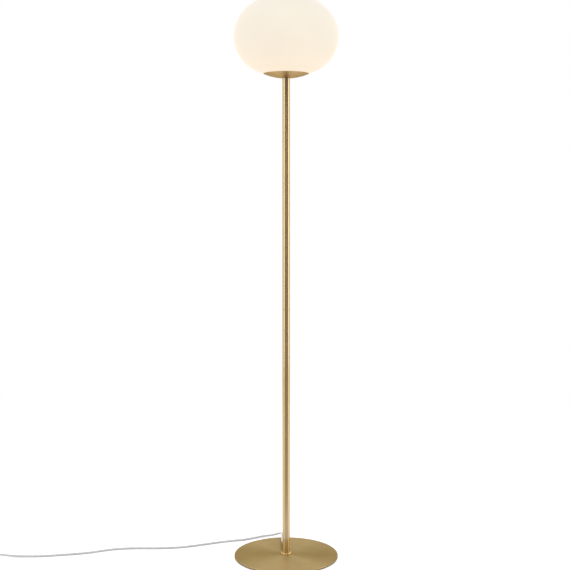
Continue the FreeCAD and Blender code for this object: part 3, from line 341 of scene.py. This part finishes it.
def opal_glass():
    """Satin opal glass, lit from inside: warmest above the dish and cooler at the crown."""
    material, tree, shader = principled("opal_glass", OPAL_BASE, 0.5, Specular_IOR_Level=0.05)
    here = place(tree)
    level = spread(tree, split_of(tree, here)["Z"], GLOW_LOW, GLOW_HIGH)
    drive(tree, shader, "Emission Color", ramp(tree, level, *GLOW_STOPS))
    patches = noise(tree, here, GLOW_PATCH_SCALE, detail=2.0)
    drive(tree, shader, "Emission Strength", spread(tree, patches, *WIDE_BAND, *GLOW_UNEVEN))
    bump(tree, shader, noise(tree, here, SATIN_SCALE, detail=2.0), SATIN_DEPTH, SATIN_STRENGTH)
    return material


def felt():
    """Dark felt, with paler fibres standing out of it."""
    material, tree, shader = principled("felt", (0.03, 0.03, 0.032), 0.95, Sheen_Weight=0.4)
    fibres = noise(tree, place(tree), FELT_SCALE, detail=5.0, roughness=0.7)
    drive(tree, shader, "Base Color", ramp(tree, fibres, *FELT_STOPS))
    bump(tree, shader, fibres, FELT_DEPTH, FELT_STRENGTH)
    return material


def diffuser():
    """The frosted dome of the lit bulb."""
    material, tree, shader = principled("diffuser", (0.9, 0.88, 0.84), 0.45, Emission_Strength=DOME_GLOW)
    here = place(tree)
    level = spread(tree, split_of(tree, here)["Z"], DOME_LOW, DOME_HIGH)
    drive(tree, shader, "Emission Color", ramp(tree, level, *DOME_STOPS))
    bump(tree, shader, noise(tree, here, FROST_SCALE), FROST_DEPTH, FROST_STRENGTH)
    return material


# The finish of each material slot.
FINISHES = {
    "pad": felt(),
    "brass": brushed_brass(
        "tube_brass",
        colour=(0.56, 0.38, 0.135),
        grazing=(0.56, 0.46, 0.33),
        roughness=0.33,
        anisotropic=0.95,
        grain=2400.0,
        groove=0.002 * MM,
        lacquer=0.55,
    ),
    "turned_brass": metal("turned_brass", (0.55, 0.40, 0.15), 0.2),
    "steel": metal("zinc_steel", (0.52, 0.53, 0.54), 0.34),
    "spring_steel": metal("spring_steel", (0.48, 0.48, 0.47), 0.22, grain=1400.0),
    "gasket": moulded("silicone", (0.82, 0.82, 0.78), 0.4, Transmission_Weight=0.2),
    "opal_glass": opal_glass(),
    "holder": moulded("holder_plastic", (0.78, 0.77, 0.73), 0.42),
    "contact_brass": metal("contact_brass", (0.60, 0.46, 0.20), 0.25),
    "bulb_cap": metal("bulb_cap_metal", (0.60, 0.60, 0.60), 0.28),
    "bulb_plastic": moulded("bulb_plastic", (0.80, 0.80, 0.79), 0.38),
    "bulb_dome": diffuser(),
    "cord": moulded("cord_pvc", (0.57, 0.57, 0.57), 0.30, grain=700.0, Coat_Weight=0.3, Coat_Roughness=0.2),
    "fittings": moulded("pale_moulding", (0.72, 0.72, 0.71), 0.40),
    "button": moulded("button_moulding", (0.60, 0.60, 0.59), 0.28),
    "pin_metal": metal("nickel", (0.60, 0.58, 0.54), 0.2),
    "sleeve": moulded("sleeve_plastic", (0.02, 0.02, 0.02), 0.35),
}

# Nodes whose brass isn't the tubes': the plate and the dish carry rings and hold more colour at a low angle,
# and the collar is a small turned piece of a brighter colour.
OWN_FINISHES = {
    "base_plate": plate_brass(),
    "dish": brushed_brass(
        "dish_brass",
        colour=(0.55, 0.385, 0.19),
        grazing=(0.6, 0.5, 0.34),
        roughness=0.40,
        anisotropic=0.3,
        grain=1500.0,
        groove=0.004 * MM,
        lacquer=0.06,
    ),
    "foot_collar": metal("collar_brass", (0.72, 0.53, 0.22), 0.22, grain=1200.0, depth=0.01 * MM),
}

# Where two faces of a mesh meet at more than this angle, in degrees, the edge stays sharp.
SHARP_ANGLE = 32

# What the scene's own pieces stand for.
REPLACED = ("bulb_cap", "cord_lead", "cord_link", "cord_coil", "cord_tail")


def dress(piece, slot, finish=None):
    """Give a piece its own finish, or else its slot's."""
    piece.data.materials.clear()
    piece.data.materials.append(finish or FINISHES[slot])


def smooth(piece):
    """Shade a mesh smooth except across sharp edges."""
    mesh = piece.data
    mesh.polygons.foreach_set("use_smooth", [True] * len(mesh.polygons))
    mesh.set_sharp_from_angle(angle=math.radians(SHARP_ANGLE))


for entry in frame["record"]["subparts"]:
    name = entry["node"]
    dress(nodes[name], entry["material_slot"], OWN_FINISHES.get(name))

for name in nodes:
    if name not in REPLACED:
        smooth(nodes[name])

# ---------------------------------------------------------------- thread of the bulb's cap

THREAD_PITCH = 3.6 * MM
THREAD_DEPTH = 0.8 * MM

# The cone over the cap's tip and the band under its rim have no thread. It runs out beside each.
CAP_TAPER = 3.0 * MM
CAP_PLAIN = 2.0 * MM
THREAD_RUNOUT = THREAD_PITCH / 2

CAP_RINGS = 90
CAP_SIDES = 72


def threaded_cap():
    """The bulb's screw cap, its rolled thread let into the outline of the plain cap."""
    low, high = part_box("bulb_cap")
    radius = high.x
    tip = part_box("bulb_tip")[1].x
    vertices, faces = [], []
    for ring in range(CAP_RINGS + 1):
        height = low.z + (high.z - low.z) * ring / CAP_RINGS
        cone = tip + (radius - tip) * min((height - low.z) / CAP_TAPER, 1)
        above_cone = height - low.z - CAP_TAPER
        below_band = high.z - height - CAP_PLAIN
        share = max(min(below_band, above_cone, THREAD_RUNOUT), 0) / THREAD_RUNOUT
        for side in range(CAP_SIDES):
            angle = 2 * math.pi * side / CAP_SIDES
            wave = 0.5 - 0.5 * math.cos(2 * math.pi * height / THREAD_PITCH - angle)
            spoke = cone - THREAD_DEPTH * wave * share
            vertices.append((spoke * math.cos(angle), spoke * math.sin(angle), height))
    for ring in range(CAP_RINGS):
        for side in range(CAP_SIDES):
            a = ring * CAP_SIDES + side
            b = ring * CAP_SIDES + (side + 1) % CAP_SIDES
            faces.append((a, b, b + CAP_SIDES, a + CAP_SIDES))
    last = CAP_RINGS * CAP_SIDES
    faces.append(tuple(reversed(range(CAP_SIDES))))
    faces.append(tuple(range(last, last + CAP_SIDES)))
    mesh = bpy.data.meshes.new("threaded_cap")
    mesh.from_pydata(vertices, [], faces)
    piece = bpy.data.objects.new("threaded_cap", mesh)
    bpy.context.scene.collection.objects.link(piece)
    smooth(piece)
    dress(piece, "bulb_cap")
    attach(piece, "bulb")
    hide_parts("bulb_cap")


threaded_cap()

# ---------------------------------------------------------------- cords

CORD_DIAMETER = 5.6 * MM

# How finely the cord is divided round its girth and along its line.
GIRTH_STEPS = 6
SPAN_STEPS = 8

# From here to the end of the routes, sizes and places are in millimetres. REST is the height of the cord's
# middle where it lies on the floor.
REST = 3.0

# The cord leaves the pole level and towards the back, turned a little to the left. Its strain relief ends at
# this reach from the pole's axis.
EXIT_LEVEL = 25.0
EXIT_ANGLE = math.radians(12)
RELIEF_REACH = 30.0

# The switch lies along X. Its reach is from its middle to the end of either strain relief, where the cord
# comes in at this level.
SWITCH_MIDDLE = (-841.0, -8.0)
SWITCH_REACH = 59.0
SWITCH_LEVEL = 7.0

# Where the cord ends in the plug's strain relief.
PLUG_BACK = (-884.0, -87.0, 6.85)

LEAD_START = (-RELIEF_REACH * math.sin(EXIT_ANGLE), RELIEF_REACH * math.cos(EXIT_ANGLE), EXIT_LEVEL)
LEAD_END = (SWITCH_MIDDLE[0] + SWITCH_REACH, SWITCH_MIDDLE[1], SWITCH_LEVEL)
LEAD_ROUTE = [
    LEAD_START,
    (-9.1, 42.8, 25.0),
    (-10.8, 66.0, 21.5),
    (-11.8, 94.0, 20.3),
    (-10.8, 120.5, 20.2),
    (-13.2, 139.0, 19.6),
    (-22.9, 153.3, 12.6),
    (-39.5, 159.5, 5.6),
    (-60.1, 158.6, 4.6),
    (-84.4, 148.6, REST),
    (-113.0, 130.3, REST),
    (-150.0, 120.0, REST),
    (-197.0, 103.0, REST),
    (-244.0, 80.5, REST),
    (-300.0, 60.3, REST),
    (-366.0, 55.8, REST),
    (-428.0, 57.4, REST),
    (-482.0, 46.5, REST),
    (-536.0, 18.5, REST),
    (-600.0, 3.5, REST),
    (-658.0, -8.6, REST),
    (-702.0, -8.5, REST),
    (-738.0, -11.0, REST + 1.5),
    (-764.0, -8.0, REST + 4.0),
    LEAD_END,
]

# The spare cord: in over two and a quarter turns on the floor, up, and out again over as many on top. The
# radius is that of its outer turns, and shrinks by the step in each turn inwards.
COIL_X = -940.0
COIL_RADIUS = 37.0
COIL_STEP = 6.3
COIL_LAYER = 6.3
COIL_TURNS = 4.5
POINTS_PER_TURN = 16
STRAIGHT_END = CORD_DIAMETER / MM

# In a side step the cord leaves its old line, and is on its new one, at these shares of the way along X.
STEP_FROM, STEP_BY = 0.28, 0.72


def coil_route():
    """Control points down the coil, from its straight start to its straight end."""
    middle = (COIL_X, SWITCH_MIDDLE[1] - COIL_RADIUS)
    count = int(COIL_TURNS * POINTS_PER_TURN)
    half_way = COIL_TURNS * math.pi
    spots = []
    for number in range(count + 1):
        travelled = number * 2 * math.pi / POINTS_PER_TURN
        from_middle = travelled - half_way
        radius = COIL_RADIUS - COIL_STEP * (half_way - abs(from_middle)) / (2 * math.pi)
        climbed = min(max(from_middle / math.pi + 0.5, 0), 1)
        height = REST + COIL_LAYER * climbed * climbed * (3 - 2 * climbed)
        angle = math.pi / 2 + travelled
        spots.append((middle[0] + radius * math.cos(angle), middle[1] + radius * math.sin(angle), height))
    start = (spots[0][0] + STRAIGHT_END, spots[0][1], spots[0][2])
    end = (spots[-1][0] + STRAIGHT_END, spots[-1][1], spots[-1][2])
    return [start] + spots + [end]


def side_step(a, b):
    """The two points between a and b that let the cord leave a and meet b along X."""
    leaves, arrives = (a[0] + (b[0] - a[0]) * share for share in (STEP_FROM, STEP_BY))
    return [(leaves, a[1], a[2]), (arrives, b[1], b[2])]


COIL = coil_route()
LINK_START = (SWITCH_MIDDLE[0] - SWITCH_REACH, SWITCH_MIDDLE[1], SWITCH_LEVEL)
SPARE_ROUTE = (
    [LINK_START] + side_step(LINK_START, COIL[0]) + COIL + side_step(COIL[-1], PLUG_BACK) + [PLUG_BACK]
)


def metres(spot):
    return tuple(MM * value for value in spot)


def cord_curve(name, route):
    """A round cord along a smooth line with the route's points as its control points."""
    curve = bpy.data.curves.new(name, "CURVE")
    curve.dimensions = "3D"
    curve.bevel_depth = CORD_DIAMETER / 2
    curve.bevel_resolution = GIRTH_STEPS
    curve.resolution_u = SPAN_STEPS
    curve.use_fill_caps = True
    spline = curve.splines.new("NURBS")
    spline.points.add(len(route) - 1)
    for point, spot in zip(spline.points, route):
        point.co = (*metres(spot), 1)
    spline.order_u = 3
    spline.use_endpoint_u = True
    piece = bpy.data.objects.new(name, curve)
    bpy.context.scene.collection.objects.link(piece)
    dress(piece, "cord")
    return piece


lead = cord_curve("lead_cord", LEAD_ROUTE)
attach(lead, "lamp")
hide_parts("cord_lead")

spare = cord_curve("spare_cord", SPARE_ROUTE)
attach(spare, "lamp")
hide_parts("cord_link", "cord_coil", "cord_tail")

# ---------------------------------------------------------------- floor, light and background

FLOOR_HALF = 40.0
FLOOR_DROP = 0.2 * MM
FLOOR_COLOUR = (0.86, 0.86, 0.86)
BLACK = (0.0, 0.0, 0.0)

# The floor before the lamp is greyer, so that the pole's middle mirrors something dark. The grey fades out
# over these ranges of Y and of the distance from the Y axis.
FRONT_COLOUR = (0.40, 0.40, 0.40)
FRONT_DEPTH = (-0.62, -0.15)
FRONT_SIDE = (0.5, 2.2)

# What the floor adds to the light on it where it is seen, to come out white: less by the lamp than away from
# it, where less light reaches it.
NEAR_LIFT, AWAY_LIFT = 0.30, 0.50
LIFT_REACH = (1.0, 2.6)

# The distance from the lamp over which the floor runs into the studio behind it.
HORIZON_REACH = (1.0, 2.6)

# The studio is white behind the lamp and grey on the camera's side. It changes over this range of Y of the
# direction from the lamp.
ROOM_GREY = 0.24
ROOM_DEPTH = (-0.62, 0.02)

# Each softbox faces the middle of the pole. It has a name, a place, a size and a level, where white is 1.
LIGHT_AIM = (0, 0, 0.8)
SOFTBOXES = [
    ("left_softbox", (-1.94, -1.03, 1.2), (1.5, 2.2), 1.8),
    ("right_softbox", (2.19, -0.26, 1.2), (1.5, 2.2), 1.7),
    ("front_softbox", (0.0, -1.0, 2.7), (1.6, 1.0), 4.5),
]


def studio_level(tree, depth):
    """The studio's grey level in a direction, given its Y."""
    return smooth_step(tree, depth, *ROOM_DEPTH, ROOM_GREY, 1.0)


def floor_finish():
    """A pale floor that is seen as white, with the lamp's shadow on it, and that runs into the studio."""
    material, tree, shader = principled("floor", FLOOR_COLOUR, 0.9, Specular_IOR_Level=0.0)
    here = place(tree)
    split = split_of(tree, here)
    depth = split["Y"]
    side = math_node(tree, "ABSOLUTE", split["X"])
    away = length_of(tree, here)
    far = smooth_step(tree, away, *HORIZON_REACH)

    before = smooth_step(tree, depth, *FRONT_DEPTH, 1.0, 0.0)
    grey = math_node(tree, "MULTIPLY", before, smooth_step(tree, side, *FRONT_SIDE, 1.0, 0.0))
    near_colour = mixed(tree, grey, FLOOR_COLOUR, FRONT_COLOUR)
    drive(tree, shader, "Base Color", mixed(tree, far, near_colour, BLACK))

    white_lift = smooth_step(tree, away, *LIFT_REACH, NEAR_LIFT, AWAY_LIFT)
    lift = spread(tree, grey, 0.0, 1.0, white_lift, 0.0)
    level = studio_level(tree, math_node(tree, "DIVIDE", depth, away))
    rays = node(tree, "LightPath").outputs
    seen = math_node(tree, "MAXIMUM", rays["Is Camera Ray"], rays["Is Glossy Ray"])
    seen = math_node(tree, "MAXIMUM", seen, rays["Is Transmission Ray"])
    glow = math_node(tree, "MULTIPLY", seen, spread(tree, far, 0.0, 1.0, lift, level))
    shader.inputs["Emission Color"].default_value = (1, 1, 1, 1)
    drive(tree, shader, "Emission Strength", glow)
    return material


def make_floor():
    """A large square, a hair under the lamp."""
    mesh = bpy.data.meshes.new("floor")
    corners = [(-1, -1), (1, -1), (1, 1), (-1, 1)]
    mesh.from_pydata([(FLOOR_HALF * x, FLOOR_HALF * y, 0) for x, y in corners], [], [(0, 1, 2, 3)])
    floor = bpy.data.objects.new("floor", mesh)
    floor.location.z = -FLOOR_DROP
    bpy.context.scene.collection.objects.link(floor)
    mesh.materials.append(floor_finish())


def make_world():
    """The studio round the lamp: a white sweep behind it, and a dimmer room on the camera's side."""
    world = bpy.data.worlds.new("studio")
    bpy.context.scene.world = world
    world.use_nodes = True
    tree = world.node_tree
    background = tree.nodes["Background"]
    direction = node(tree, "TexCoord").outputs["Generated"]
    drive(tree, background, "Color", studio_level(tree, split_of(tree, direction)["Y"]))
    background.inputs["Strength"].default_value = 1.0


def softbox(name, place_at, size, level):
    """A rectangular light that faces the middle of the pole, as bright as level times white."""
    data = bpy.data.lights.new(name, "AREA")
    data.shape = "RECTANGLE"
    data.size, data.size_y = size
    data.energy = level * math.pi * size[0] * size[1]
    box = bpy.data.objects.new(name, data)
    box.location = place_at
    aim = Vector(LIGHT_AIM) - Vector(place_at)
    box.rotation_euler = aim.to_track_quat("-Z", "Y").to_euler()
    bpy.context.scene.collection.objects.link(box)


make_floor()
make_world()
for name, place_at, size, level in SOFTBOXES:
    softbox(name, place_at, size, level)

bpy.context.scene.view_settings.view_transform = "Standard"
